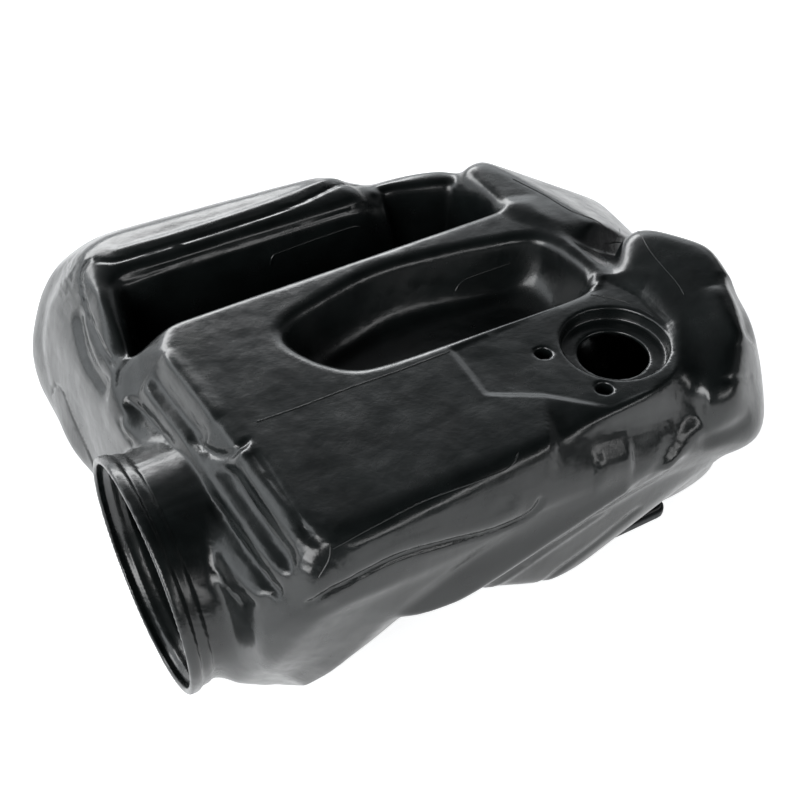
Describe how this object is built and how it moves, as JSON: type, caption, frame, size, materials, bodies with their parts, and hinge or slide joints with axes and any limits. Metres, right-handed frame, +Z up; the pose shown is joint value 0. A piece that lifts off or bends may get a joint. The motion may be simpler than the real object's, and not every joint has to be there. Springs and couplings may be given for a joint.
{
  "type": "air filter housing",
  "caption": "Blow-moulded engine air filter housing with a wide round neck, side lobe, trough, scooped pocket and port pad, holding a pleated cartridge on a clamped outlet elbow.",
  "frame": {"origin": "middle of the bottom of the bounding box", "axes": "+X from the neck into the housing, +Y towards the left lobe, +Z up"},
  "size_m": [0.355, 0.321, 0.16],
  "materials": {
    "housing_plastic": "black blow-moulded polyethylene, satin",
    "outlet_plastic": "black glass-filled nylon, fine grain",
    "rubber": "black moulded rubber",
    "zinc_steel": "zinc plated",
    "stainless_steel": "stainless strip",
    "filter_paper": "resin-treated pleated filter paper"
  },
  "bodies": {
    "root": {"housing_shell": "housing_plastic", "outlet_elbow": "outlet_plastic", "outlet_gasket": "rubber", "outlet_screw_1": "zinc_steel", "outlet_screw_2": "zinc_steel", "outlet_screw_3": "zinc_steel", "outlet_screw_4": "zinc_steel", "filter_media": "filter_paper", "filter_core": "zinc_steel", "filter_cap_closed": "rubber", "filter_cap_open": "rubber", "clamp_band": "stainless_steel", "clamp_housing": "stainless_steel", "drain_valve": "rubber", "mount_grommet_1": "rubber", "mount_grommet_2": "rubber", "mount_grommet_3": "rubber", "mount_sleeve_1": "zinc_steel", "mount_sleeve_2": "zinc_steel", "mount_sleeve_3": "zinc_steel"},
    "clamp_screw": {"clamp_screw": "zinc_steel"}
  },
  "joints": [
    {"name": "clamp_screw_turn", "type": "hinge", "parent": "root", "child": "clamp_screw", "pos_m": [0.0215, -0.1129, 0.068], "axis": [0, 0, 1], "continuous": true}
  ]
}
